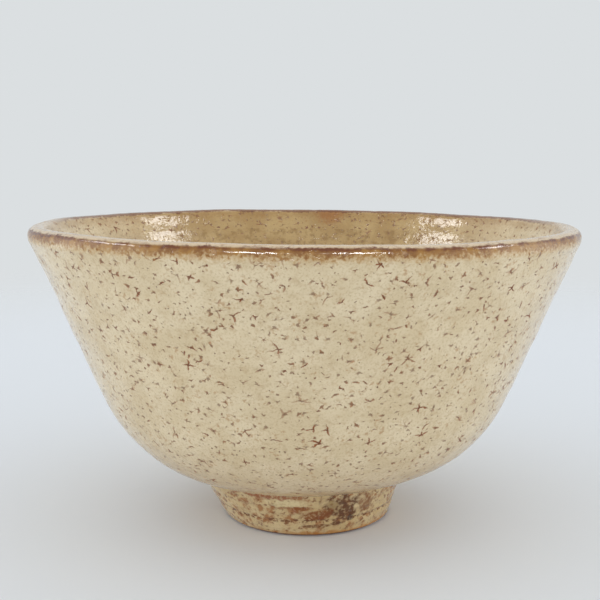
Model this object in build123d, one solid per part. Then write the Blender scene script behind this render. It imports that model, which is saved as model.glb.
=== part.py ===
from build123d import *
import os
from math import radians, tan

# Matcha bowl: a wheel-thrown stoneware bowl on a turned foot ring, coated in glaze.
#
# The clay is two solids, the thrown bowl and its foot ring. The glaze is five coats, each
# a skin of one thickness on its own stretch of the clay. Every solid is a turned shape, so
# each is drawn as a section of radius and height and revolved about +Z. The foot stands on
# z = 0 and the bowl's axis is the Z axis. All sizes are millimetres.

# Driving dimensions of the finished, glazed bowl.
RIM_DIAMETER = 150.0
HEIGHT = 82.5
GLAZE = 0.5

# Thrown bowl: the outside of the clay.
LIP_RADIUS = RIM_DIAMETER / 2 - GLAZE
LIP_TOP = HEIGHT - GLAZE
LIP_SHOULDER = 79.0
WALL_FLARE = 23.5
BELLY_RADIUS = 37.5
BASE_RISE = 19.0
BASE_HEIGHT = 9.5

# Thrown bowl: the inside of the clay.
LIP_WIDTH = 3.5
INSIDE_FLARE = 25.5
INSIDE_BELLY_RADIUS = 32.0
FLOOR_RISE = 12.5
FLOOR_HEIGHT = 16.8
POOL_RADIUS = 15.0
POOL_EDGE_RADIUS = 17.5
POOL_HEIGHT = 15.5
LIP_ROUNDING = 1.6
POOL_ROUNDING = 1.6
TOKIN_RADIUS = 5.0
TOKIN_TIP_RADIUS = 1.0
TOKIN_DEPTH = 1.0

# Foot ring.
FOOT_TOP_RADIUS = 28.0
FOOT_SIDE_RADIUS = 23.9
FOOT_REST_RADIUS = 22.8
FOOT_BEVEL_HEIGHT = 2.4
WELL_TOP_RADIUS = 18.1
WELL_REST_RADIUS = 17.6
WELL_BEVEL = 1.0

# Where the coats of glaze stop.
LIP_COAT_DEPTH = 3.0
FOOT_BARE_HEIGHT = 0.7
WELL_BARE_HEIGHT = 2.0
CREVICE = 0.35


def meet(point_a, slope_a, point_b, slope_b):
    """Where two lines meet, each given by a point and its rise over run."""
    rise = point_b[1] - point_a[1]
    radius = (rise + slope_a * point_a[0] - slope_b * point_b[0]) / (slope_a - slope_b)
    return (radius, point_a[1] + slope_a * (radius - point_a[0]))


def at_height(low, high, height):
    """The point at this height on the line from low to high."""
    share = (height - low[1]) / (high[1] - low[1])
    return (low[0] + share * (high[0] - low[0]), height)


def at_radius(inner, outer, radius):
    """The point at this radius on the line from inner to outer."""
    share = (radius - inner[0]) / (outer[0] - inner[0])
    return (radius, inner[1] + share * (outer[1] - inner[1]))


# Corners of the clay's section, from the middle of the base, up the outside, over the lip
# and down the inside. Each is (radius, height) before it is rounded.
WALL_SLOPE = 1 / tan(radians(WALL_FLARE))
INSIDE_SLOPE = 1 / tan(radians(INSIDE_FLARE))
BASE_SLOPE = tan(radians(BASE_RISE))
FLOOR_SLOPE = tan(radians(FLOOR_RISE))

tokin_middle = (0.0, BASE_HEIGHT - TOKIN_DEPTH)
tokin_tip = (TOKIN_TIP_RADIUS, BASE_HEIGHT - TOKIN_DEPTH)
tokin_edge = (TOKIN_RADIUS, BASE_HEIGHT)
base_edge = (WELL_TOP_RADIUS, BASE_HEIGHT)
lip_shoulder = (LIP_RADIUS, LIP_SHOULDER)
belly = meet(base_edge, BASE_SLOPE, lip_shoulder, WALL_SLOPE)
lip_outside = (LIP_RADIUS, LIP_TOP)
lip_inside = (LIP_RADIUS - LIP_WIDTH, LIP_TOP)
floor_edge = (POOL_EDGE_RADIUS, FLOOR_HEIGHT)
inside_belly = meet(floor_edge, FLOOR_SLOPE, lip_inside, INSIDE_SLOPE)
pool_edge = (POOL_RADIUS, POOL_HEIGHT)
pool_middle = (0.0, POOL_HEIGHT)

# Ends of the coats, on the clay's straight stretches.
outside_split = at_height(belly, lip_shoulder, LIP_SHOULDER - LIP_COAT_DEPTH)
inside_split = at_height(inside_belly, lip_inside, LIP_SHOULDER - LIP_COAT_DEPTH)
foot_top = at_radius(base_edge, belly, FOOT_TOP_RADIUS)
outside_start = at_radius(base_edge, belly, FOOT_TOP_RADIUS + GLAZE)
foot_rest = (FOOT_REST_RADIUS, 0.0)
foot_side = (FOOT_SIDE_RADIUS, FOOT_BEVEL_HEIGHT)
foot_bare = at_height(foot_rest, foot_side, FOOT_BARE_HEIGHT)
foot_coat_top = at_height(foot_side, foot_top, foot_top[1] - CREVICE)
well_rest = (WELL_REST_RADIUS, WELL_BEVEL)
well_bare = at_height(well_rest, base_edge, WELL_BARE_HEIGHT)


def turned(section):
    """The solid made by turning a section of radius and height about the bowl's axis."""
    return revolve(Plane.XZ * section, axis=Axis.Z)


def coat(path):
    """A coat of glaze on the right of a path, which has the clay on its left."""
    return turned(make_face(offset(path, amount=GLAZE, side=Side.RIGHT, kind=Kind.INTERSECTION).edges()))


def make_clay_bowl():
    """Thrown wall, floor and base, with a shallow tea pool in the floor and a point under the base."""
    outline = FilletPolyline(
        base_edge,
        belly,
        lip_shoulder,
        lip_outside,
        lip_inside,
        inside_belly,
        floor_edge,
        pool_edge,
        pool_middle,
        radius=[BELLY_RADIUS, LIP_ROUNDING, LIP_ROUNDING, LIP_ROUNDING]
        + [INSIDE_BELLY_RADIUS, POOL_ROUNDING, POOL_ROUNDING],
    )
    under = Polyline(pool_middle, tokin_middle, tokin_tip, tokin_edge, base_edge)
    return turned(make_face([*outline.edges(), *under.edges()]))


def make_foot_ring():
    """Turned ring whose top fits the sloping base of the bowl. Both edges of its rest are bevelled."""
    section = Polyline(
        base_edge,
        well_rest,
        (WELL_REST_RADIUS + WELL_BEVEL, 0.0),
        foot_rest,
        foot_side,
        foot_top,
        close=True,
    )
    return turned(make_face(section))


def make_outer_glaze():
    """Coat on the outside of the wall, from the top of the foot to just under the lip."""
    return coat(FilletPolyline(outside_start, belly, outside_split, radius=BELLY_RADIUS))


def make_lip_glaze():
    """Coat that goes over the lip and a little way down both sides."""
    return coat(
        FilletPolyline(
            outside_split, lip_shoulder, lip_outside, lip_inside, inside_split, radius=LIP_ROUNDING
        )
    )


def make_inner_glaze():
    """Coat that lines the inside, the floor and the tea pool."""
    return coat(
        FilletPolyline(
            inside_split,
            inside_belly,
            floor_edge,
            pool_edge,
            pool_middle,
            radius=[INSIDE_BELLY_RADIUS, POOL_ROUNDING, POOL_ROUNDING],
        )
    )


def make_foot_glaze():
    """Coat on the foot ring's side and bevel. The clay is bare below it, and in a crevice above it."""
    return coat(Polyline(foot_bare, foot_side, foot_coat_top))


def make_well_glaze():
    """Coat in the well that the foot ring surrounds."""
    return coat(Polyline(tokin_middle, tokin_tip, tokin_edge, base_edge, well_bare))


os.makedirs("parts", exist_ok=True)
export_step(make_clay_bowl(), "parts/clay_bowl.step")
export_step(make_foot_ring(), "parts/foot_ring.step")
export_step(make_outer_glaze(), "parts/outer_glaze.step")
export_step(make_lip_glaze(), "parts/lip_glaze.step")
export_step(make_inner_glaze(), "parts/inner_glaze.step")
export_step(make_foot_glaze(), "parts/foot_glaze.step")
export_step(make_well_glaze(), "parts/foot_well_glaze.step")
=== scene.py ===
import math

import bmesh
import bpy
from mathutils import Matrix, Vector, noise


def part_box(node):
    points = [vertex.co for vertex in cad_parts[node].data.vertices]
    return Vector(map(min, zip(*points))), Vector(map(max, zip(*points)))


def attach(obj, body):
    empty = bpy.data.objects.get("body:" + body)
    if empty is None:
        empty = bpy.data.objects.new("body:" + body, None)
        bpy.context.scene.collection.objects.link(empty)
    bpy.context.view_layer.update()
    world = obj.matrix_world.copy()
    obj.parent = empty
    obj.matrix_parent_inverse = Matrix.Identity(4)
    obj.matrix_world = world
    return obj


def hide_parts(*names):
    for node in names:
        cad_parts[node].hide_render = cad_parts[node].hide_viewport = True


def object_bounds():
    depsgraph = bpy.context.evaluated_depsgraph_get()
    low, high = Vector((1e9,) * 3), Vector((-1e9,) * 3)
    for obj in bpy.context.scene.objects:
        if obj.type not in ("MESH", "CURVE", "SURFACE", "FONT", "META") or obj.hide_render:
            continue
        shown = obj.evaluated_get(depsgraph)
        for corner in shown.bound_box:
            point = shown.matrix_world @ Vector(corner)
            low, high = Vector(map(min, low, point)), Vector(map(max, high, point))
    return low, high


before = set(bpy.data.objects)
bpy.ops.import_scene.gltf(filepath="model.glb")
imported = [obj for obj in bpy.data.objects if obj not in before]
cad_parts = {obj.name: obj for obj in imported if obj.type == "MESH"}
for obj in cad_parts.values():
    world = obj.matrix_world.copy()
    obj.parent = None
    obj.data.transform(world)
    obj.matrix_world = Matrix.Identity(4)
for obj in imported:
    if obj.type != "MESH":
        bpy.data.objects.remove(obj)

cad_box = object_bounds()

# ---------------------------------------------------------------------------
# Thrown bowl
# Iron-bearing stoneware, thrown on a wheel: a straight flaring wall over a rounded belly.
# The hand leaves the lip a little wavy and out of round, and ridges in the wall. Fired bare,
# it is matt red-brown, and it shows only where the glaze has left it.

# Sizes are in millimetres, and MM makes them metres. A corner is (radius, height).
MM = 0.001
clay_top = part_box("clay_bowl")[1] / MM
foot_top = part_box("foot_ring")[1] / MM
well_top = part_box("foot_well_glaze")[1] / MM
pool_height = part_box("inner_glaze")[0].z / MM

WALL_FLARE = 23.5
BELLY_ROUNDING = 37.5
LIP_SHOULDER = clay_top.z - 3.0
LIP_WIDTH = 3.5
LIP_ROUNDING = 1.6
INSIDE_FLARE = 25.5
INSIDE_ROUNDING = 32.0
FLOOR_RISE = 12.5
FLOOR_EDGE = (17.5, 16.8)
POOL_RADIUS = 15.0
POOL_ROUNDING = 1.6
TOKIN_RADIUS = 5.0
TOKIN_TIP = 1.0
TOKIN_DEPTH = 1.0

# The bowl is turned in this many steps round, as one slice that is then repeated.
STEPS_ROUND = 600
SLICES = 24

# What the hand leaves, in millimetres. A ripple is its size, its count round the bowl and its
# start. The foot's top is wider, further left and higher than true, and its rest further right.
RIM_WAVE = [(0.47, 1, 0.0), (0.48, 1, -math.pi / 2), (0.10, 3, 2.2), (0.07, 7, 0.0), (0.05, 13, 1.0)]
OUT_OF_ROUND = [(0.1, 2, -1.5), (0.1, 5, 0.4)]
THROWING_RIDGE = 0.06
RIDGES_APART = 6.5
RIDGE_SPIRAL = 1.5
LUMP = 0.35
LUMPS_APART = 16.0
LUMPS_FLATTER = 1.6
WALL_BOW = 0.25
BOW_LOW = 26.0
BOW_HIGH = 82.0
FOOT_RADIUS = FLOOR_EDGE[0]
TRIMMING_LINE = 5.0
TRIMMING_SWAY = 0.3
TRIMMING_DEPTH = 0.25
TRIMMING_WIDTH = 0.4
TOOL_MARK = 0.06
TOOL_MARKS_APART = 2.3
FOOT_TOP_WIDER = 0.8
FOOT_TOP_LEFT = 1.2
FOOT_TOP_UP = 0.6
FOOT_REST_RIGHT = 0.6
LEAN_FADES_OVER = 9.0


def meet(point_a, slope_a, point_b, slope_b):
    """Where two lines meet, each given by a point and its rise over run."""
    rise = point_b[1] - point_a[1]
    radius = (rise + slope_a * point_a[0] - slope_b * point_b[0]) / (slope_a - slope_b)
    return (radius, point_a[1] + slope_a * (radius - point_a[0]))


def draw_path(shape, corners, spacing):
    """Draws a path of corners (radius, height, rounding) in millimetres. Returns its two ends."""
    points = [Vector((radius, 0, height)) * MM for radius, height, _ in corners]
    start = pen = shape.verts.new(points[0])
    for index in range(1, len(points)):
        way = (points[index] - points[index - 1]).normalized()
        rounding, turn, axis = corners[index][2] * MM, 0.0, Vector((0, 1, 0))
        if rounding:
            onward = (points[index + 1] - points[index]).normalized()
            turn = way.angle(onward)
            axis = way.cross(onward).normalized()
        run = points[index] - way * rounding * math.tan(turn / 2) - pen.co
        steps = max(1, round(run.length / MM / spacing))
        line = bmesh.ops.spin(shape, geom=[pen], axis=axis, dvec=run / steps, steps=steps)
        pen = line["geom_last"][0]
        if rounding:
            centre = pen.co + axis.cross(way) * rounding
            steps = max(4, round(turn * rounding / MM / spacing))
            arc = bmesh.ops.spin(shape, geom=[pen], cent=centre, axis=axis, angle=turn, steps=steps)
            pen = arc["geom_last"][0]
    return start, pen


def ripple(ripples, angle):
    """How far ripples round the bowl move the clay at this angle."""
    return sum(size * math.sin(count * angle + start) for size, count, start in ripples)


def hand_made(point):
    """Moves a point of the true turned shape to where a potter's hands would have left it."""
    x, y, height = point / MM
    radius = math.hypot(x, y)
    angle = math.atan2(y, x)
    climb = min(1.0, max(0.0, (height - foot_top.z) / (clay_top.z - foot_top.z)))
    bowed = min(1.0, max(0.0, (height - BOW_LOW) / (BOW_HIGH - BOW_LOW)))
    lift = climb * climb * ripple(RIM_WAVE, angle)
    ridge = THROWING_RIDGE * math.sin(height * math.tau / RIDGES_APART + RIDGE_SPIRAL * math.sin(angle))
    lump = LUMP * noise.noise(Vector((x, y, height * LUMPS_FLATTER)) / LUMPS_APART)
    grown = radius + climb * (ripple(OUT_OF_ROUND, angle) + ridge + lump)
    grown += lift * math.tan(math.radians(WALL_FLARE)) + WALL_BOW * math.sin(math.tau * bowed)
    if height < foot_top.z:
        lean = height / foot_top.z
    else:
        lean = 1.0 - min(1.0, (height - foot_top.z) / LEAN_FADES_OVER)
    if height < foot_top.z and radius > FOOT_RADIUS:
        groove = (height - TRIMMING_LINE - TRIMMING_SWAY * math.sin(angle)) / TRIMMING_WIDTH
        grown -= TRIMMING_DEPTH * math.exp(-groove * groove)
        grown += TOOL_MARK * math.sin(height * math.tau / TOOL_MARKS_APART + math.sin(2 * angle))
    grown += FOOT_TOP_WIDER * lean * min(1.0, radius / FOOT_RADIUS)
    if radius > 0:
        x, y = x * grown / radius, y * grown / radius
    x += FOOT_REST_RIGHT * max(0.0, 1.0 - height / foot_top.z) - FOOT_TOP_LEFT * lean
    return Vector((x, y, height + lift + FOOT_TOP_UP * lean)) * MM


def turn_on_axis(name, shown, hidden, spacing=0.75):
    """Turns a section about the bowl's axis: the side that shows in fine steps, the hidden side coarse."""
    shape = bmesh.new()
    on_show = shape.verts.layers.float.new("shown")
    true_place = shape.verts.layers.float_vector.new("turned_place")
    ends = [draw_path(shape, shown, spacing)]
    for vert in shape.verts:
        vert[on_show] = 1.0
    ends.append(draw_path(shape, hidden, 4 * spacing))
    for end_a, end_b in zip(*ends):
        if end_a.co.x > 0:
            shape.edges.new((end_a, end_b))
    turn = {"cent": (0, 0, 0), "axis": (0, 0, 1)}
    section = shape.verts[:] + shape.edges[:]
    slice_angle = math.tau / SLICES
    bmesh.ops.spin(shape, geom=section, angle=slice_angle, steps=STEPS_ROUND // SLICES, **turn)
    slice_of_it = shape.verts[:] + shape.edges[:] + shape.faces[:]
    rest = {"angle": math.tau - slice_angle, "steps": SLICES - 1, "use_duplicate": True}
    bmesh.ops.spin(shape, geom=slice_of_it, **rest, **turn)
    bmesh.ops.remove_doubles(shape, verts=shape.verts[:], dist=MM / 1000)
    bmesh.ops.recalc_face_normals(shape, faces=shape.faces[:])
    for vert in shape.verts:
        vert[true_place] = vert.co / MM
        vert.co = hand_made(vert.co)
    mesh = bpy.data.meshes.new(name)
    shape.to_mesh(mesh)
    shape.free()
    mesh.shade_smooth()
    mesh.set_sharp_from_angle(angle=math.radians(50))
    piece = bpy.data.objects.new(name, mesh)
    bpy.context.scene.collection.objects.link(piece)
    return piece


def paint(code):
    """An sRGB hex colour as the linear colour that a shader takes."""
    shares = [int(code[index : index + 2], 16) / 255 for index in (0, 2, 4)]
    return (*[s / 12.92 if s <= 0.04045 else ((s + 0.055) / 1.055) ** 2.4 for s in shares], 1.0)


def add(tree, kind, sockets=(), **settings):
    """Adds a node with these settings, each socket given a value or a link. Returns its outputs."""
    node = tree.nodes.new(kind)
    for name, value in settings.items():
        setattr(node, name, value)
    pairs = sockets.items() if isinstance(sockets, dict) else enumerate(sockets)
    for socket, value in pairs:
        if isinstance(value, bpy.types.NodeSocket):
            tree.links.new(value, node.inputs[socket])
        else:
            node.inputs[socket].default_value = value
    return node.outputs


def start_material(name):
    """A new material, with its node tree, its shader and the place on the bowl in millimetres."""
    material = bpy.data.materials.new(name)
    material.use_nodes = True
    tree = material.node_tree
    metres = add(tree, "ShaderNodeTexCoord")["Object"]
    place = add(tree, "ShaderNodeVectorMath", {0: metres, "Scale": 1 / MM}, operation="SCALE")[0]
    return material, tree, tree.nodes["Principled BSDF"], place


# A map range with this setting eases in and out.
SMOOTH = {"interpolation_type": "SMOOTHSTEP"}


def cloud(tree, place, grain, detail, thin, thick):
    """Random cloud with lumps this many millimetres apart. It is 0 where thin and 1 where thick."""
    lumps = add(tree, "ShaderNodeTexNoise", {"Vector": place, "Scale": 1 / grain, "Detail": detail})[0]
    return add(tree, "ShaderNodeMapRange", [lumps, thin, thick], **SMOOTH)[0]


def lay_over(tree, colour, layers):
    """Lays colours over one another. A layer is where it lies, its strength there and its colour."""
    for where, strength, code in layers:
        share = add(tree, "ShaderNodeMath", [where, strength], operation="MULTIPLY")[0]
        colour = add(tree, "ShaderNodeMix", {0: share, 6: colour, 7: paint(code)}, data_type="RGBA")[2]
    return colour


# Bare stoneware is coarse and matt: grit of about half a millimetre, redder where iron gathers.
GRIT = 0.5
IRON_FLUSH = 8.3

bare_clay, tree, shader, place = start_material("bare_iron_stoneware")
grit = add(tree, "ShaderNodeTexNoise", {"Vector": place, "Scale": 1 / GRIT, "Detail": 4.0})[0]
iron = cloud(tree, place, IRON_FLUSH, 3.0, 0.35, 0.65)
coarse = add(tree, "ShaderNodeMapRange", [grit, 0.55, 0.7], **SMOOTH)[0]
clay_colour = lay_over(tree, paint("8A6248"), [(iron, 1.0, "6E4630"), (coarse, 1.0, "4A3022")])
clay_bump = add(tree, "ShaderNodeBump", {"Height": grit, "Distance": 0.15 * MM, "Strength": 0.8})[0]
tree.links.new(clay_colour, shader.inputs["Base Color"])
tree.links.new(clay_bump, shader.inputs["Normal"])
shader.inputs["Roughness"].default_value = 0.85
shader.inputs["IOR"].default_value = 1.5

wall_slope = 1 / math.tan(math.radians(WALL_FLARE))
base_slope = (foot_top.z - well_top.z) / (foot_top.x - well_top.x)
belly = meet((well_top.x, well_top.z), base_slope, (clay_top.x, LIP_SHOULDER), wall_slope)
inside_slope = 1 / math.tan(math.radians(INSIDE_FLARE))
floor_slope = math.tan(math.radians(FLOOR_RISE))
lip_inside = (clay_top.x - LIP_WIDTH, clay_top.z)
inside_belly = meet(FLOOR_EDGE, floor_slope, lip_inside, inside_slope)
bowl_outside = [
    (well_top.x, well_top.z, 0),
    (*belly, BELLY_ROUNDING),
    (clay_top.x, LIP_SHOULDER, LIP_ROUNDING),
    (clay_top.x, clay_top.z, LIP_ROUNDING),
]
bowl_inside = [
    (*lip_inside, LIP_ROUNDING),
    (*inside_belly, INSIDE_ROUNDING),
    (*FLOOR_EDGE, POOL_ROUNDING),
    (POOL_RADIUS, pool_height, POOL_ROUNDING),
    (0, pool_height, 0),
]
bowl_under = [
    (well_top.x, well_top.z, 0),
    (TOKIN_RADIUS, well_top.z, 0),
    (TOKIN_TIP, well_top.z - TOKIN_DEPTH, 0),
    (0, well_top.z - TOKIN_DEPTH, 0),
]
thrown_bowl = turn_on_axis("thrown_bowl", bowl_outside + bowl_inside, bowl_under, spacing=2.0)
thrown_bowl.data.materials.append(bare_clay)
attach(thrown_bowl, "root")
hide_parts("clay_bowl")

# ---------------------------------------------------------------------------
# Foot ring
# The same clay, left thick under the bowl and turned to a ring once leather-hard. Its edges
# are bevelled, and its resting edge is wiped bare so that it doesn't stick to the kiln shelf.

WELL_REST = (17.6, 1.0)
REST_INNER_RADIUS = 18.6
REST_OUTER_RADIUS = 22.8
FOOT_SIDE = (23.9, 2.4)
REST_ROUNDING = 0.3

foot_section = [
    (well_top.x, well_top.z, 0),
    (*WELL_REST, REST_ROUNDING),
    (REST_INNER_RADIUS, 0, REST_ROUNDING),
    (REST_OUTER_RADIUS, 0, REST_ROUNDING),
    (*FOOT_SIDE, REST_ROUNDING),
    (foot_top.x, foot_top.z, 0),
]
turned_foot = turn_on_axis("turned_foot_ring", foot_section, [foot_section[0], foot_section[-1]])
turned_foot.data.materials.append(bare_clay)
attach(turned_foot, "root")
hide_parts("foot_ring")

# ---------------------------------------------------------------------------
# Outer glaze
# A thick cream glaze, poured over the wall. While it melted it crawled away from pinholes and
# dust, and left fine branching cracks and dots where the iron in the clay shows through.

GLAZE = cad_box[1].x / MM - clay_top.x
SEAM = 76.0
EDGE_ROLL = 0.25
HOLLOW_DEPTH = 0.12
HOLLOW_RADIUS = 2.0
SWELL = 0.14
SWELLS_APART = 3.0
CREAM = paint("DECCAA")
WARM_CREAM = paint("D3BF9A")

# Crawl marks, in millimetres: how far apart, the longest arm, its bend and its half thickness.
STARS = (4.0, 3.2, 1.7, 0.23)
FLECKS = (2.7, 1.75, 0.9, 0.3)
MARKS_WIDER = 1.25
FEWEST_ARMS = 2.0
MORE_ARMS = 3.2
MARK_DEPTH = 0.10
DOTS_APART = 2.0
DOT_RADIUS = 0.28
PEEL = 0.08
GLOSS_ROUGHNESS = 0.14
MARK_ROUGHNESS = 0.5


def at_height(low, high, height):
    """The point at this height on the line from low to high."""
    share = (height - low[1]) / (high[1] - low[1])
    return (low[0] + share * (high[0] - low[0]), height)


def raised(corners, thickness):
    """A path moved out to the face of a coat on it. The clay is on the left of the path."""
    points = [Vector(corner[:2]) for corner in corners]
    ways = [(after - before).normalized() for before, after in zip(points, points[1:])]
    moved = []
    for point, before, after, corner in zip(points, [ways[0], *ways], [*ways, ways[-1]], corners):
        side = Vector((before.y + after.y, -before.x - after.x)) / (1 + before.dot(after))
        bend = math.copysign(thickness, before.cross(after)) if corner[2] else 0
        moved.append((*(point + side * thickness), corner[2] + bend))
    return moved


def crawl_cells(tree, place, apart, longest, bend):
    """Shares the face out in cells with one mark in each.

    Returns the way from the mark's middle, the mark's length and three random draws for it.
    """
    drift = add(tree, "ShaderNodeTexNoise", {"Vector": place, "Scale": 1 / bend, "Detail": 2.5})["Color"]
    bent = add(tree, "ShaderNodeVectorMath", [drift, [bend] * 3, place], operation="MULTIPLY_ADD")[0]
    cells = add(tree, "ShaderNodeTexVoronoi", {"Vector": bent, "Scale": 1 / apart})
    way = add(tree, "ShaderNodeVectorMath", [bent, cells["Position"]], operation="SUBTRACT")[0]
    draws = add(tree, "ShaderNodeSeparateXYZ", [cells["Color"]])
    length = add(tree, "ShaderNodeMath", [draws[2], 1.6], operation="POWER")[0]
    length = add(tree, "ShaderNodeMath", [length, longest], operation="MULTIPLY")[0]
    return way, length, draws


def crawl_marks(tree, place, apart, longest, bend, thick):
    """Stars and dashes where the glaze drew back from a speck.

    Returns how much of each mark shows, and its dark middle.
    """
    way, length, draws = crawl_cells(tree, place, apart, longest, bend)

    # The way from the mark's middle, as a distance round the bowl and one up its face.
    facing = add(tree, "ShaderNodeTexCoord")["Normal"]
    east = add(tree, "ShaderNodeVectorMath", [(0, 0, 1), place], operation="CROSS_PRODUCT")[0]
    east = add(tree, "ShaderNodeVectorMath", [east], operation="NORMALIZE")[0]
    north = add(tree, "ShaderNodeVectorMath", [facing, east], operation="CROSS_PRODUCT")[0]
    along = add(tree, "ShaderNodeVectorMath", [way, east], operation="DOT_PRODUCT")["Value"]
    up = add(tree, "ShaderNodeVectorMath", [way, north], operation="DOT_PRODUCT")["Value"]
    up = add(tree, "ShaderNodeMath", [up, MARKS_WIDER], operation="MULTIPLY")[0]
    away = add(tree, "ShaderNodeMath", [up, up], operation="MULTIPLY")[0]
    away = add(tree, "ShaderNodeMath", [along, along, away], operation="MULTIPLY_ADD")[0]
    away = add(tree, "ShaderNodeMath", [away], operation="SQRT")[0]

    # Two to five arms share the turn round the middle. Each leans and reaches in its own way.
    arms = add(tree, "ShaderNodeMath", [draws[0], MORE_ARMS, FEWEST_ARMS], operation="MULTIPLY_ADD")[0]
    arms = add(tree, "ShaderNodeMath", [arms], operation="FLOOR")[0]
    part = add(tree, "ShaderNodeMath", [up, along], operation="ARCTAN2")[0]
    part = add(tree, "ShaderNodeMath", [part, math.tau], operation="DIVIDE")[0]
    part = add(tree, "ShaderNodeMath", [part, arms], operation="MULTIPLY")[0]
    part = add(tree, "ShaderNodeMath", [draws[1], 5.0, part], operation="MULTIPLY_ADD")[0]
    arm = add(tree, "ShaderNodeMath", [part], operation="FLOOR")[0]
    arm = add(tree, "ShaderNodeMath", [arm, arms], operation="FLOORED_MODULO")[0]
    seed = add(tree, "ShaderNodeCombineXYZ", [arm, draws[1], draws[2]])[0]
    arm_draws = add(tree, "ShaderNodeTexWhiteNoise", {"Vector": seed})["Color"]
    arm_draws = add(tree, "ShaderNodeSeparateXYZ", [arm_draws])
    lean = add(tree, "ShaderNodeMath", [arm_draws[0], 0.5, -0.75], operation="MULTIPLY_ADD")[0]
    part = add(tree, "ShaderNodeMath", [part], operation="FRACT")[0]
    angle = add(tree, "ShaderNodeMath", [part, lean], operation="ADD")[0]
    angle = add(tree, "ShaderNodeMath", [angle], operation="ABSOLUTE")[0]
    angle = add(tree, "ShaderNodeMath", [angle, math.tau], operation="MULTIPLY")[0]
    angle = add(tree, "ShaderNodeMath", [angle, arms], operation="DIVIDE")[0]
    angle = add(tree, "ShaderNodeMath", [angle, math.pi / 2], operation="MINIMUM")[0]
    aside = add(tree, "ShaderNodeMath", [angle], operation="SINE")[0]
    aside = add(tree, "ShaderNodeMath", [aside, away], operation="MULTIPLY")[0]
    reach = add(tree, "ShaderNodeMapRange", [arm_draws[1], 0.0, 1.0, 0.25, 1.0], **SMOOTH)[0]
    reach = add(tree, "ShaderNodeMath", [reach, length], operation="MULTIPLY")[0]

    # An arm is full along its inner half, tapers from there to its tip, and has a rough edge.
    heavy = add(tree, "ShaderNodeMapRange", [length, 0.0, longest, 0.5 * thick, thick], **SMOOTH)[0]
    half = add(tree, "ShaderNodeMath", [away, reach], operation="DIVIDE")[0]
    half = add(tree, "ShaderNodeMath", [half, -2.0, 2.0], operation="MULTIPLY_ADD")[0]
    half = add(tree, "ShaderNodeMath", [half, 1.0], operation="MINIMUM")[0]
    half = add(tree, "ShaderNodeMath", [half, heavy], operation="MULTIPLY")[0]
    rough = add(tree, "ShaderNodeTexNoise", {"Vector": place, "Scale": 1 / 0.35, "Detail": 2.0})[0]
    rough = add(tree, "ShaderNodeMath", [rough, 0.5], operation="SUBTRACT")[0]
    half = add(tree, "ShaderNodeMath", [rough, 0.3, half], operation="MULTIPLY_ADD")[0]
    mark = add(tree, "ShaderNodeMath", [half, aside], operation="SUBTRACT")[0]
    mark = add(tree, "ShaderNodeMapRange", [mark, -0.10, 0.12], **SMOOTH)[0]
    middle = add(tree, "ShaderNodeMath", [away, heavy], operation="DIVIDE")[0]
    middle = add(tree, "ShaderNodeMapRange", [middle, 3.0, 1.0], **SMOOTH)[0]
    middle = add(tree, "ShaderNodeMath", [middle, mark], operation="MULTIPLY")[0]
    shows = add(tree, "ShaderNodeMapRange", [draws[1], 0.0, 1.0, 0.3, 1.0], **SMOOTH)[0]
    shows = add(tree, "ShaderNodeMath", [shows, mark], operation="MULTIPLY")[0]
    return shows, middle


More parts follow.
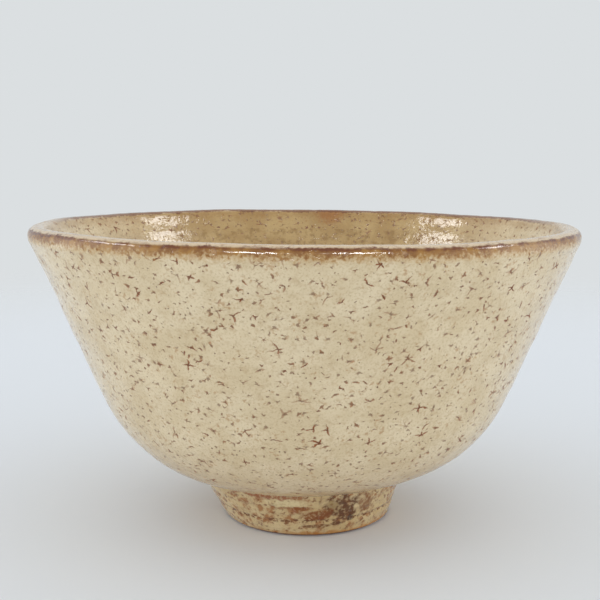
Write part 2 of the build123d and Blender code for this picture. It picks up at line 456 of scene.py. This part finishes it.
def press_hollows(piece):
    """Sinks the coat's face round each star, and leaves it softly uneven as melted glaze is."""
    tree = bpy.data.node_groups.new("melted_face", "GeometryNodeTree")
    tree.interface.new_socket("Geometry", in_out="INPUT", socket_type="NodeSocketGeometry")
    tree.interface.new_socket("Geometry", in_out="OUTPUT", socket_type="NodeSocketGeometry")
    metres = add(tree, "GeometryNodeInputPosition")[0]
    place = add(tree, "ShaderNodeVectorMath", {0: metres, "Scale": 1 / MM}, operation="SCALE")[0]
    swell = add(tree, "ShaderNodeTexNoise", {"Vector": place, "Scale": 1 / SWELLS_APART, "Detail": 1.0})[0]
    swell = add(tree, "ShaderNodeMath", [swell, 0.5], operation="SUBTRACT")[0]
    swell = add(tree, "ShaderNodeMath", [swell, SWELL * MM], operation="MULTIPLY")[0]
    way, length, _ = crawl_cells(tree, place, *STARS[:3])
    away = add(tree, "ShaderNodeVectorMath", [way], operation="LENGTH")["Value"]
    hollow = add(tree, "ShaderNodeMapRange", [away, HOLLOW_RADIUS, 0.0], **SMOOTH)[0]
    deeper = add(tree, "ShaderNodeMapRange", [length, 0.3, 2.0], **SMOOTH)[0]
    hollow = add(tree, "ShaderNodeMath", [hollow, deeper], operation="MULTIPLY")[0]
    sink = add(tree, "ShaderNodeMath", [hollow, -HOLLOW_DEPTH * MM, swell], operation="MULTIPLY_ADD")[0]

    # Neighbouring coats meet at the seam, and the hidden side lies on the clay: neither moves.
    turned = add(tree, "GeometryNodeInputNamedAttribute", ["turned_place"], data_type="FLOAT_VECTOR")[0]
    from_seam = add(tree, "ShaderNodeSeparateXYZ", [turned])[2]
    from_seam = add(tree, "ShaderNodeMath", [from_seam, SEAM], operation="SUBTRACT")[0]
    from_seam = add(tree, "ShaderNodeMath", [from_seam], operation="ABSOLUTE")[0]
    free = add(tree, "ShaderNodeMapRange", [from_seam, 0.0, 1.5], **SMOOTH)[0]
    shown = add(tree, "GeometryNodeInputNamedAttribute", ["shown"])[0]
    sink = add(tree, "ShaderNodeMath", [sink, free], operation="MULTIPLY")[0]
    sink = add(tree, "ShaderNodeMath", [sink, shown], operation="MULTIPLY")[0]
    normal = add(tree, "GeometryNodeInputNormal")[0]
    offset = add(tree, "ShaderNodeVectorMath", {0: normal, "Scale": sink}, operation="SCALE")[0]
    given = add(tree, "NodeGroupInput")[0]
    pressed = add(tree, "GeometryNodeSetPosition", {"Geometry": given, "Offset": offset})[0]
    add(tree, "NodeGroupOutput", [pressed])
    piece.modifiers.new("melted_face", "NODES").node_group = tree
    evaluated = piece.evaluated_get(bpy.context.evaluated_depsgraph_get())
    plain = piece.data
    piece.data = bpy.data.meshes.new_from_object(evaluated)
    piece.modifiers.clear()
    bpy.data.meshes.remove(plain)


def cream_glaze(tree, place, light, warm, shown=1.0):
    """The cream coat's colour, its roughness and the height of its fine relief in millimetres."""
    stars, star_middles = crawl_marks(tree, place, *STARS)
    flecks, fleck_middles = crawl_marks(tree, place, *FLECKS)
    dots = add(tree, "ShaderNodeTexVoronoi", {"Vector": place, "Scale": 1 / DOTS_APART})
    largest = DOT_RADIUS / DOTS_APART
    reach = add(tree, "ShaderNodeSeparateXYZ", [dots["Color"]])[0]
    reach = add(tree, "ShaderNodeMapRange", [reach, 0.4, 1.0, -0.02, largest], **SMOOTH)[0]
    dot = add(tree, "ShaderNodeMath", [reach, dots["Distance"]], operation="SUBTRACT")[0]
    dot = add(tree, "ShaderNodeMapRange", [dot, 0.0, 0.05], **SMOOTH)[0]
    middles = add(tree, "ShaderNodeMath", [fleck_middles, dot], operation="MAXIMUM")[0]
    middles = add(tree, "ShaderNodeMath", [middles, star_middles], operation="MAXIMUM")[0]
    marks = add(tree, "ShaderNodeMath", [flecks, dot], operation="MAXIMUM")[0]
    marks = add(tree, "ShaderNodeMath", [marks, stars], operation="MAXIMUM")[0]

    # The coat is warmer low on the belly, and faintly clouded all over.
    height = add(tree, "ShaderNodeSeparateXYZ", [place])[2]
    low = add(tree, "ShaderNodeMapRange", [height, 34.0, 16.0], **SMOOTH)[0]
    small = add(tree, "ShaderNodeTexNoise", {"Vector": place, "Scale": 1 / 0.8, "Detail": 1.0})[0]
    large = add(tree, "ShaderNodeTexNoise", {"Vector": place, "Scale": 1 / 2.6, "Detail": 1.0})[0]
    smudge = add(tree, "ShaderNodeMath", [small, large], operation="MULTIPLY")[0]
    smudge = add(tree, "ShaderNodeMapRange", [smudge, 0.33, 0.5], **SMOOTH)[0]
    share = cloud(tree, place, 9.0, 3.0, 0.35, 0.65)
    colour = add(tree, "ShaderNodeMix", {0: share, 6: light, 7: warm}, data_type="RGBA")[2]
    layers = [
        (low, 0.35, "BF9C6A"),
        (cloud(tree, place, 1.6, 3.0, 0.5, 0.75), 0.35, "B3946B"),
        (cloud(tree, place, 0.5, 2.0, 0.45, 0.8), 0.4, "A2825A"),
        (smudge, 0.45 * shown, "A6713C"),
        (dot, 0.75 * shown, "844A1A"),
        (flecks, 0.75 * shown, "A35F22"),
        (stars, shown, "8C4A14"),
        (middles, 0.5 * shown, "4A280F"),
    ]
    colour = lay_over(tree, colour, layers)

    # The face is glossy with a faint orange peel. The marks are rougher, and lie a little lower.
    rough = add(tree, "ShaderNodeMapRange", [marks, 0.0, 1.0, GLOSS_ROUGHNESS, MARK_ROUGHNESS], **SMOOTH)[0]
    peel = add(tree, "ShaderNodeTexNoise", {"Vector": place, "Scale": 1 / 1.3, "Detail": 2.0})[0]
    peel = add(tree, "ShaderNodeMath", [peel, PEEL], operation="MULTIPLY")[0]
    relief = add(tree, "ShaderNodeMath", [marks, -MARK_DEPTH, peel], operation="MULTIPLY_ADD")[0]
    return colour, rough, relief


def finish_glaze(tree, shader, colour, rough, relief):
    """Connects a coat's colour, roughness and relief. Glaze is a glass, so its IOR is a glass's."""
    bump = add(tree, "ShaderNodeBump", {"Height": relief, "Distance": MM, "Strength": 1.0})[0]
    tree.links.new(colour, shader.inputs["Base Color"])
    tree.links.new(rough, shader.inputs["Roughness"])
    tree.links.new(bump, shader.inputs["Normal"])
    shader.inputs["IOR"].default_value = 1.52


start = foot_top.x + GLAZE
outside_seam = at_height(belly, (clay_top.x, LIP_SHOULDER), SEAM)
outside_path = [
    (start, well_top.z + (start - well_top.x) * base_slope, 0),
    (*belly, BELLY_ROUNDING),
    (*outside_seam, 0),
]
outside_face = raised(outside_path, GLAZE)
outside_face[0] = (*outside_face[0][:2], EDGE_ROLL)
outer_coat = turn_on_axis("outer_glaze_coat", [outside_path[0], *outside_face], outside_path)
press_hollows(outer_coat)

# An opaque cream stoneware glaze: glossy, with a sharp shine that matt brown crawl marks break.
glossy_cream, tree, shader, place = start_material("glossy_cream_crawling_glaze")
finish_glaze(tree, shader, *cream_glaze(tree, place, CREAM, WARM_CREAM))
outer_coat.data.materials.append(glossy_cream)
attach(outer_coat, "root")
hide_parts("outer_glaze")

# ---------------------------------------------------------------------------
# Lip glaze
# The same pour where it thins over the lip: iron from the clay burns through the edges as a
# broken brown line, and fades to ochre within a few millimetres.

# The brown line lies this far down the outside, and one place on the lip's back is scorched.
OUTSIDE_LINE = 0.8
SCORCH = (9.5, 72.0, 82.0)
SCORCH_RADIUS = 7.0
# These two ochres are painted shade: the inside's back wall, darker and warmer as shade and inter-reflected
# light in the concave wall make it.
PAINTED_SHADE_OCHRE = paint("C3A570")
DEEP_PAINTED_SHADE_OCHRE = paint("B2915C")


def painted_back_shade(tree, place):
    """How much painted shade the inside gets: ochre and darker at the back, where the concave wall is in
    shade and lit by warm inter-reflected light, and cream at the front.
    """
    back = add(tree, "ShaderNodeSeparateXYZ", [place])[1]
    return add(tree, "ShaderNodeMapRange", [back, 12.0, 64.0], **SMOOTH)[0]


def shade_tinted_colours(tree, back_shade):
    """The coat's light colour and its warm one, each from cream to a painted-shade ochre as the back shade
    grows.
    """
    colours = []
    for cream, ochre in [(CREAM, PAINTED_SHADE_OCHRE), (WARM_CREAM, DEEP_PAINTED_SHADE_OCHRE)]:
        mix = add(tree, "ShaderNodeMix", {0: back_shade, 6: cream, 7: ochre}, data_type="RGBA")
        colours.append(mix[2])
    return colours


inside_seam = at_height(inside_belly, lip_inside, SEAM)
lip_path = [(*outside_seam, 0), *bowl_outside[2:], bowl_inside[0], (*inside_seam, 0)]
lip_coat = turn_on_axis("lip_glaze_coat", raised(lip_path, GLAZE), lip_path, spacing=0.35)
press_hollows(lip_coat)

# A thin glossy glaze stained by iron: the lip reads as a brown edge over ochre, then cream.
iron_lip, tree, shader, place = start_material("iron_brown_lip_glaze")
turned = add(tree, "ShaderNodeAttribute", attribute_name="turned_place")["Vector"]
height = add(tree, "ShaderNodeSeparateXYZ", [turned])[2]
drop = add(tree, "ShaderNodeMath", [clay_top.z + GLAZE, height], operation="SUBTRACT")[0]
radius = add(tree, "ShaderNodeVectorMath", [turned, (1, 1, 0)], operation="MULTIPLY")[0]
radius = add(tree, "ShaderNodeVectorMath", [radius], operation="LENGTH")["Value"]
across_lip = [clay_top.x - 0.7 * LIP_WIDTH, clay_top.x - 0.3 * LIP_WIDTH]
outside = add(tree, "ShaderNodeMapRange", [radius, *across_lip], **SMOOTH)[0]
inside = add(tree, "ShaderNodeMath", [1.0, outside], operation="SUBTRACT")[0]
# The lip's inside at the back takes the inner coat's painted shade: ochre, as if in the concave wall's
# shade.
back_shade = painted_back_shade(tree, place)
back_shade = add(tree, "ShaderNodeMath", [back_shade, inside], operation="MULTIPLY")[0]
colour, rough, relief = cream_glaze(tree, place, *shade_tinted_colours(tree, back_shade))

# The brown keeps to an edge that sways up and down and is broken into grains.
grains = add(tree, "ShaderNodeTexNoise", {"Vector": place, "Scale": 1 / 0.8, "Detail": 4.0})[0]
grains = add(tree, "ShaderNodeMath", [grains, 0.5], operation="SUBTRACT")[0]
sway = add(tree, "ShaderNodeTexNoise", {"Vector": place, "Scale": 1 / 5.0, "Detail": 2.0})[0]
sway = add(tree, "ShaderNodeMath", [sway, 0.5], operation="SUBTRACT")[0]
edge = add(tree, "ShaderNodeMath", [sway, 1.2, drop], operation="MULTIPLY_ADD")[0]
edge = add(tree, "ShaderNodeMath", [grains, 0.9, edge], operation="MULTIPLY_ADD")[0]
broken = cloud(tree, place, 4.0, 4.0, 0.36, 0.56)
broken = add(tree, "ShaderNodeMath", [broken, 0.75, 0.25], operation="MULTIPLY_ADD")[0]
behind = add(tree, "ShaderNodeSeparateXYZ", [place])[1]
behind = add(tree, "ShaderNodeMapRange", [behind, -10.0, 25.0, 0.0, 0.8], **SMOOTH)[0]
inside_behind = add(tree, "ShaderNodeMath", [inside, behind], operation="MULTIPLY")[0]
strength = add(tree, "ShaderNodeMath", [outside, inside_behind], operation="ADD")[0]
brown = add(tree, "ShaderNodeMath", [outside, -OUTSIDE_LINE, edge], operation="MULTIPLY_ADD")[0]
brown = add(tree, "ShaderNodeMath", [brown], operation="ABSOLUTE")[0]
brown = add(tree, "ShaderNodeMapRange", [brown, 0.5, 0.1], **SMOOTH)[0]
brown = add(tree, "ShaderNodeMath", [brown, broken], operation="MULTIPLY")[0]
brown = add(tree, "ShaderNodeMath", [brown, strength], operation="MULTIPLY")[0]
top_brown = add(tree, "ShaderNodeMapRange", [edge, 0.9, 0.4], **SMOOTH)[0]
top_brown = add(tree, "ShaderNodeMath", [top_brown, inside_behind], operation="MULTIPLY")[0]
brown = add(tree, "ShaderNodeMath", [brown, top_brown], operation="MAXIMUM")[0]

# Below the line ochre fades out in specks, darker with iron near the line. The lip's top is
# paler, and one place inside it is scorched.
speckled = add(tree, "ShaderNodeMath", [grains, 3.5, edge], operation="MULTIPLY_ADD")[0]
ochre = add(tree, "ShaderNodeMapRange", [speckled, 4.3, 1.4], **SMOOTH)[0]
below_top = add(tree, "ShaderNodeMapRange", [drop, 0.4, 0.9], **SMOOTH)[0]
ochre = add(tree, "ShaderNodeMath", [ochre, below_top], operation="MULTIPLY")[0]
weaker_inside = add(tree, "ShaderNodeMapRange", [outside, 0.0, 1.0, 0.25, 1.0], **SMOOTH)[0]
ochre = add(tree, "ShaderNodeMath", [ochre, weaker_inside], operation="MULTIPLY")[0]
specks = add(tree, "ShaderNodeTexNoise", {"Vector": place, "Scale": 1 / 0.5, "Detail": 3.0})[0]
specks = add(tree, "ShaderNodeMath", [specks, 0.5], operation="SUBTRACT")[0]
iron = add(tree, "ShaderNodeMath", [speckled, specks], operation="ADD")[0]
iron = add(tree, "ShaderNodeMapRange", [iron, 3.2, 1.6], **SMOOTH)[0]
iron = add(tree, "ShaderNodeMath", [iron, ochre], operation="MULTIPLY")[0]
iron = add(tree, "ShaderNodeMath", [iron, broken], operation="MULTIPLY")[0]
scorch = add(tree, "ShaderNodeVectorMath", [place, SCORCH], operation="DISTANCE")["Value"]
scorch = add(tree, "ShaderNodeMath", [grains, 5.0, scorch], operation="MULTIPLY_ADD")[0]
scorch = add(tree, "ShaderNodeMapRange", [scorch, SCORCH_RADIUS, 3.0], **SMOOTH)[0]
scorch = add(tree, "ShaderNodeMath", [scorch, inside], operation="MULTIPLY")[0]
pale_top = add(tree, "ShaderNodeMapRange", [drop, 0.9, 0.3], **SMOOTH)[0]
layers = [
    (pale_top, 0.7, "D2B797"),
    (ochre, 1.0, "A97A32"),
    (iron, 0.75, "74400A"),
    (scorch, 0.7, "A0652A"),
    (brown, 1.0, "6A3206"),
]
finish_glaze(tree, shader, lay_over(tree, colour, layers), rough, relief)
lip_coat.data.materials.append(iron_lip)
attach(lip_coat, "root")
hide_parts("lip_glaze")

# ---------------------------------------------------------------------------
# Inner glaze
# The same glaze swilled round the inside, down to the tea pool in the floor. Its back is painted
# darker ochre as painted shade, and its crawl marks are fainter.

inside_path = [(*inside_seam, 0), *bowl_inside[1:]]
inner_coat = turn_on_axis("inner_glaze_coat", raised(inside_path, GLAZE), inside_path, spacing=0.95)
press_hollows(inner_coat)

# The same glossy stoneware glaze. Its back is painted shade: ochre, clouded with darker murk and spots only
# there.
shaded_inner_cream, tree, shader, place = start_material("glossy_cream_glaze_with_painted_back_shade")
back_shade = painted_back_shade(tree, place)
colour, rough, relief = cream_glaze(tree, place, *shade_tinted_colours(tree, back_shade), shown=0.6)
# The murk and spots are laid only where the painted back shade is, so they darken that painted shade
# further.
murk = cloud(tree, place, 2.2, 4.0, 0.46, 0.66)
murk = add(tree, "ShaderNodeMath", [murk, back_shade], operation="MULTIPLY")[0]
spots = cloud(tree, place, 1.2, 1.0, 0.66, 0.76)
spots = add(tree, "ShaderNodeMath", [spots, back_shade], operation="MULTIPLY")[0]
colour = lay_over(tree, colour, [(murk, 0.55, "8E6A36"), (spots, 0.6, "6E5231")])
finish_glaze(tree, shader, colour, rough, relief)
inner_coat.data.materials.append(shaded_inner_cream)
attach(inner_coat, "root")
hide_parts("inner_glaze")

# ---------------------------------------------------------------------------
# Foot glaze
# A thinner, yellower run of the glaze over the foot's side and bevel, held by the fingers while
# the bowl was dipped, so it is patched with rust and iron-black, and a trimming line shows in it.

FOOT_BARE = 0.7
FOOT_ROUNDING = 0.6
CREVICE = 0.35

# Each patch is its middle and its half width, depth and height, all in millimetres, then its
# colour and its strength.
RUST_PATCHES = [
    ((-15.2, -21.0, 9.6), (1.6, 4.0, 1.2), "8A4E26", 0.85),
    ((-8.4, -24.5, 10.2), (1.0, 4.0, 1.0), "7E4722", 0.9),
    ((-12.0, -23.0, 8.2), (1.0, 4.0, 1.8), "9A6233", 0.8),
    ((-19.5, -17.5, 11.3), (1.2, 5.0, 0.9), "8A4E26", 0.8),
    ((-5.0, -26.0, 10.8), (5.0, 6.0, 1.6), "DCCA9C", 0.9),
    ((16.0, -22.0, 9.0), (2.2, 6.0, 3.8), "855733", 0.85),
    ((9.3, -25.0, 9.0), (4.4, 9.0, 4.2), "5E3619", 0.95),
    ((7.2, -26.0, 10.0), (1.3, 6.0, 1.3), "B49A66", 0.8),
    ((3.4, -26.0, 7.0), (4.2, 6.0, 1.9), "804418", 0.95),
    ((-2.0, -26.5, 9.0), (5.0, 6.0, 0.7), "8A4F22", 0.95),
    ((11.9, -22.5, 4.8), (0.9, 5.0, 0.9), "32221B", 1.0),
    ((2.5, -25.0, 3.4), (4.5, 5.0, 0.5), "6A3B1B", 0.85),
    ((8.0, -24.0, 3.8), (1.6, 5.0, 0.6), "5A3219", 0.9),
    ((-10.0, -26.0, 12.9), (10.0, 12.0, 1.2), "96593A", 0.9),
]

foot_bare = at_height((REST_OUTER_RADIUS, 0), FOOT_SIDE, FOOT_BARE)
foot_coat_top = at_height(FOOT_SIDE, (foot_top.x, foot_top.z), foot_top.z - CREVICE)
foot_path = [(*foot_bare, 0), (*FOOT_SIDE, FOOT_ROUNDING), (*foot_coat_top, 0)]
foot_face = raised(foot_path, GLAZE)
foot_face[0] = (*foot_face[0][:2], EDGE_ROLL)
foot_coat = turn_on_axis("foot_glaze_coat", [foot_path[0], *foot_face], foot_path, spacing=0.25)

# A thin glaze over iron-rich clay: yellow cream where it is thicker, and rust where iron shows.
rusty_glaze, tree, shader, place = start_material("rust_patched_foot_glaze")
colour, rough, relief = cream_glaze(tree, place, paint("DFCDA2"), paint("CBB382"), shown=0.3)
across, _, height = add(tree, "ShaderNodeSeparateXYZ", [place])
ragged = add(tree, "ShaderNodeTexNoise", {"Vector": place, "Scale": 1 / 2.5, "Detail": 4.0})[0]
ragged = add(tree, "ShaderNodeMath", [ragged, 0.5], operation="SUBTRACT")[0]
grains = add(tree, "ShaderNodeTexNoise", {"Vector": place, "Scale": 1 / 0.9, "Detail": 3.0})[0]
blotch = add(tree, "ShaderNodeTexNoise", {"Vector": place, "Scale": 1 / 3.2, "Detail": 4.0})[0]
blotch = add(tree, "ShaderNodeMath", [grains, 0.35, blotch], operation="MULTIPLY_ADD")[0]
blotch = add(tree, "ShaderNodeMapRange", [blotch, 0.66, 0.83], **SMOOTH)[0]
rust = cloud(tree, place, 1.5, 3.0, 0.55, 0.7)
to_right = add(tree, "ShaderNodeMapRange", [across, -9.0, 0.0, 0.25, 0.75], **SMOOTH)[0]
scorched = add(tree, "ShaderNodeMath", [ragged, 3.0, height], operation="MULTIPLY_ADD")[0]
scorched = add(tree, "ShaderNodeMapRange", [scorched, 1.9, 0.9], **SMOOTH)[0]
scorched = add(tree, "ShaderNodeMath", [scorched, to_right], operation="MULTIPLY")[0]
layers = [(blotch, 0.85, "9C6233"), (rust, 0.9, "7A4420"), (scorched, 1.0, "B37530")]

speckled = add(tree, "ShaderNodeMapRange", [grains, 0.36, 0.54, 0.45, 1.0], **SMOOTH)[0]
for middle, spread, code, strength in RUST_PATCHES:
    off = add(tree, "ShaderNodeVectorMath", [place, middle], operation="SUBTRACT")[0]
    off = add(tree, "ShaderNodeVectorMath", [off, spread], operation="DIVIDE")[0]
    off = add(tree, "ShaderNodeVectorMath", [off], operation="LENGTH")["Value"]
    patch = add(tree, "ShaderNodeMath", [ragged, 2.4, off], operation="MULTIPLY_ADD")[0]
    patch = add(tree, "ShaderNodeMapRange", [patch, 1.25, 0.75], **SMOOTH)[0]
    patch = add(tree, "ShaderNodeMath", [patch, speckled], operation="MULTIPLY")[0]
    layers.append((patch, strength, code))

line = add(tree, "ShaderNodeMath", [height, TRIMMING_LINE], operation="SUBTRACT")[0]
line = add(tree, "ShaderNodeMath", [ragged, 1.6, line], operation="MULTIPLY_ADD")[0]
line = add(tree, "ShaderNodeMath", [line], operation="ABSOLUTE")[0]
line = add(tree, "ShaderNodeMapRange", [line, 0.75, 0.2], **SMOOTH)[0]
gaps = add(tree, "ShaderNodeMapRange", [grains, 0.46, 0.58], **SMOOTH)[0]
line = add(tree, "ShaderNodeMath", [line, gaps], operation="MULTIPLY")[0]
layers.append((line, 0.9, "6B3C1C"))
finish_glaze(tree, shader, lay_over(tree, colour, layers), rough, relief)
foot_coat.data.materials.append(rusty_glaze)
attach(foot_coat, "root")
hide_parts("foot_glaze")

# ---------------------------------------------------------------------------
# Glaze in the foot's well
# The same run of glaze on the base inside the foot ring, over the small point that the turning
# tool leaves in the middle. It stops short of the resting edge.

WELL_BARE = 2.0
WELL_CORNER = 1.2

well_bare = at_height(WELL_REST, (well_top.x, well_top.z), WELL_BARE)
well_path = [*bowl_under[::-1][:3], (well_top.x, well_top.z, WELL_CORNER), (*well_bare, 0)]
well_coat = turn_on_axis("foot_well_glaze_coat", raised(well_path, GLAZE), well_path)
well_coat.data.materials.append(rusty_glaze)
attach(well_coat, "root")
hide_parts("foot_well_glaze")

# ---------------------------------------------------------------------------
# Studio
# A pale table that fades into a pale room, four soft lights that show in the gloss, and a
# camera close in front, a little above the rim. None of it is part of the bowl.

TABLE_RADIUS = 0.75
FADE_START = 260.0
FADE_END = 700.0
FRONT_GLOW = 1.4
BACK_GLOW = 0.95
SIDE_GLOW = 2.8
CEILING_GLOW = 1.2
CAMERA_PLACE = (-0.00143, -0.272, 0.0979)
CAMERA_LOOKS_DOWN = 7.8
CAMERA_LENS = 58.2

table_shape = bmesh.new()
bmesh.ops.create_circle(table_shape, cap_ends=True, segments=96, radius=TABLE_RADIUS)
table_mesh = bpy.data.meshes.new("studio_table")
table_shape.to_mesh(table_mesh)
table_shape.free()
table = bpy.data.objects.new("studio_table", table_mesh)
bpy.context.scene.collection.objects.link(table)
table_paint, tree, shader, place = start_material("pale_matt_table")
shader.inputs["Base Color"].default_value = paint("E2E4E8")
shader.inputs["Roughness"].default_value = 0.7
away = add(tree, "ShaderNodeVectorMath", [place], operation="LENGTH")["Value"]
fade = add(tree, "ShaderNodeMapRange", [away, FADE_START, FADE_END], **SMOOTH)[0]
clear = add(tree, "ShaderNodeBsdfTransparent")[0]
faded = add(tree, "ShaderNodeMixShader", [fade, shader.outputs[0], clear])[0]
tree.links.new(faded, tree.nodes["Material Output"].inputs["Surface"])
table.data.materials.append(table_paint)

world = bpy.data.worlds.new("pale_room")
world.use_nodes = True
room = world.node_tree
facing = add(room, "ShaderNodeTexCoord")["Generated"]
_, away, up = add(room, "ShaderNodeSeparateXYZ", [facing])
ends = add(room, "ShaderNodeMapRange", [away, -0.2, 0.2, FRONT_GLOW, BACK_GLOW], **SMOOTH)[0]
sides = add(room, "ShaderNodeMath", [away], operation="ABSOLUTE")[0]
sides = add(room, "ShaderNodeMapRange", [sides, 0.7, 0.2], **SMOOTH)[0]
ceiling = add(room, "ShaderNodeMapRange", [up, 0.35, 0.65], **SMOOTH)[0]
walls = add(room, "ShaderNodeMix", {0: sides, 2: ends, 3: SIDE_GLOW})[0]
light = add(room, "ShaderNodeMix", {0: ceiling, 2: walls, 3: CEILING_GLOW})[0]
seen = add(room, "ShaderNodeLightPath")["Is Camera Ray"]
strength = add(room, "ShaderNodeMix", {0: seen, 2: light, 3: 1.0})[0]
glow = room.nodes["Background"]
glow.inputs["Color"].default_value = paint("DBDFE1")
room.links.new(strength, glow.inputs["Strength"])
bpy.context.scene.world = world
bpy.context.scene.view_settings.view_transform = "Standard"


def soft_light(name, place, width, height, watts):
    """A soft light that looks at the bowl's middle. It shows only where the glaze reflects it."""
    lamp = bpy.data.lights.new(name, "AREA")
    lamp.shape = "RECTANGLE"
    lamp.size = width
    lamp.size_y = height
    lamp.energy = watts
    light = bpy.data.objects.new(name, lamp)
    light.location = place
    light.rotation_euler = (Vector((0, 0, 0.05)) - Vector(place)).to_track_quat("-Z", "Y").to_euler()
    light.visible_camera = False
    light.visible_diffuse = False
    bpy.context.scene.collection.objects.link(light)


for side in (-1, 1):
    soft_light("side_light", (side * 0.68, 0.0, 0.60), width=0.25, height=0.14, watts=1.2)
    soft_light("front_light", (side * 0.31, -0.83, 0.40), width=0.24, height=0.12, watts=4.5)

lens = bpy.data.cameras.new("camera")
lens.lens = CAMERA_LENS
lens.sensor_width = 36.0
camera = bpy.data.objects.new("camera", lens)
camera.location = CAMERA_PLACE
camera.rotation_euler = (math.radians(90 - CAMERA_LOOKS_DOWN), 0, 0)
bpy.context.scene.collection.objects.link(camera)
bpy.context.scene.camera = camera

bpy.context.view_layer.update()
